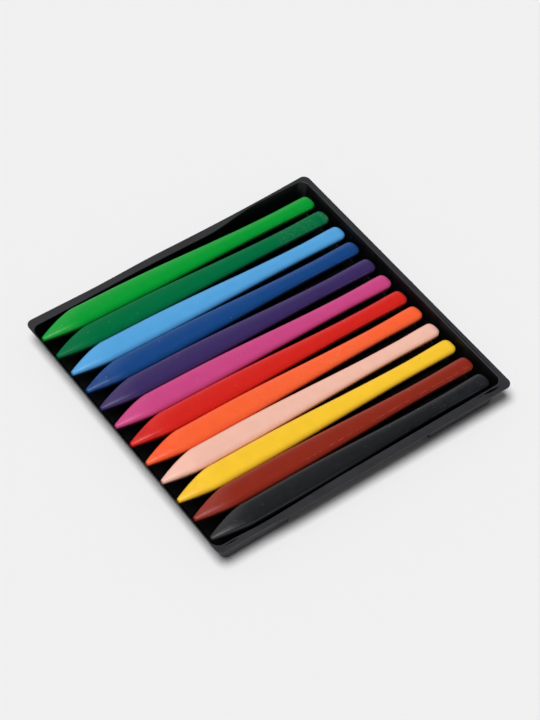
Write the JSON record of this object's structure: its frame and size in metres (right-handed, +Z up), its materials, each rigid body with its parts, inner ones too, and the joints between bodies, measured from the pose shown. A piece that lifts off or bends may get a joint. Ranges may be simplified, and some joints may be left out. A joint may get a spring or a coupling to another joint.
{
  "type": "oil pastel set",
  "caption": "Row of three-sided moulded oil pastels with tapered bodies and blunt tips, lying loose in the seats of a thin black thermoformed tray.",
  "frame": {"origin": "centre of the whole set's box in plan, on the plane that the tray stands on", "axes": "+X along the pastels from their tips to their butts, +Y across the row towards the light green pastel and the splayed side, +Z up"},
  "size_m": [0.127, 0.1216, 0.0113],
  "materials": {
    "tray_sheet": "black thermoformed sheet, glossy inside, soft sheen on the rim",
    "pastel_light_green": "waxy pigment stick with a soft satin sheen",
    "pastel_dark_green": "waxy pigment stick with a soft satin sheen",
    "pastel_light_blue": "waxy pigment stick with a soft satin sheen",
    "pastel_blue": "waxy pigment stick with a soft satin sheen",
    "pastel_violet": "waxy pigment stick with a soft satin sheen",
    "pastel_pink": "waxy pigment stick with a soft satin sheen",
    "pastel_red": "waxy pigment stick with a soft satin sheen",
    "pastel_orange": "waxy pigment stick with a soft satin sheen",
    "pastel_peach": "waxy pigment stick with a soft satin sheen",
    "pastel_yellow": "waxy pigment stick with a soft satin sheen",
    "pastel_brown": "waxy pigment stick with a soft satin sheen",
    "pastel_black": "waxy pigment stick with a soft satin sheen"
  },
  "bodies": {
    "tray": {"tray": "tray_sheet"},
    "light_green_pastel": {"pastel_light_green": "pastel_light_green"},
    "dark_green_pastel": {"pastel_dark_green": "pastel_dark_green"},
    "light_blue_pastel": {"pastel_light_blue": "pastel_light_blue"},
    "blue_pastel": {"pastel_blue": "pastel_blue"},
    "violet_pastel": {"pastel_violet": "pastel_violet"},
    "pink_pastel": {"pastel_pink": "pastel_pink"},
    "red_pastel": {"pastel_red": "pastel_red"},
    "orange_pastel": {"pastel_orange": "pastel_orange"},
    "peach_pastel": {"pastel_peach": "pastel_peach"},
    "yellow_pastel": {"pastel_yellow": "pastel_yellow"},
    "brown_pastel": {"pastel_brown": "pastel_brown"},
    "black_pastel": {"pastel_black": "pastel_black"}
  },
  "joints": [
    {"name": "light_green_lift", "type": "slide", "parent": "tray", "child": "light_green_pastel", "axis": [0, 0, 1], "range_m": [0, 0.03]},
    {"name": "dark_green_lift", "type": "slide", "parent": "tray", "child": "dark_green_pastel", "axis": [0, 0, 1], "range_m": [0, 0.03]},
    {"name": "light_blue_lift", "type": "slide", "parent": "tray", "child": "light_blue_pastel", "axis": [0, 0, 1], "range_m": [0, 0.03]},
    {"name": "blue_lift", "type": "slide", "parent": "tray", "child": "blue_pastel", "axis": [0, 0, 1], "range_m": [0, 0.03]},
    {"name": "violet_lift", "type": "slide", "parent": "tray", "child": "violet_pastel", "axis": [0, 0, 1], "range_m": [0, 0.03]},
    {"name": "pink_lift", "type": "slide", "parent": "tray", "child": "pink_pastel", "axis": [0, 0, 1], "range_m": [0, 0.03]},
    {"name": "red_lift", "type": "slide", "parent": "tray", "child": "red_pastel", "axis": [0, 0, 1], "range_m": [0, 0.03]},
    {"name": "orange_lift", "type": "slide", "parent": "tray", "child": "orange_pastel", "axis": [0, 0, 1], "range_m": [0, 0.03]},
    {"name": "peach_lift", "type": "slide", "parent": "tray", "child": "peach_pastel", "axis": [0, 0, 1], "range_m": [0, 0.03]},
    {"name": "yellow_lift", "type": "slide", "parent": "tray", "child": "yellow_pastel", "axis": [0, 0, 1], "range_m": [0, 0.03]},
    {"name": "brown_lift", "type": "slide", "parent": "tray", "child": "brown_pastel", "axis": [0, 0, 1], "range_m": [0, 0.03]},
    {"name": "black_lift", "type": "slide", "parent": "tray", "child": "black_pastel", "axis": [0, 0, 1], "range_m": [0, 0.03]}
  ]
}
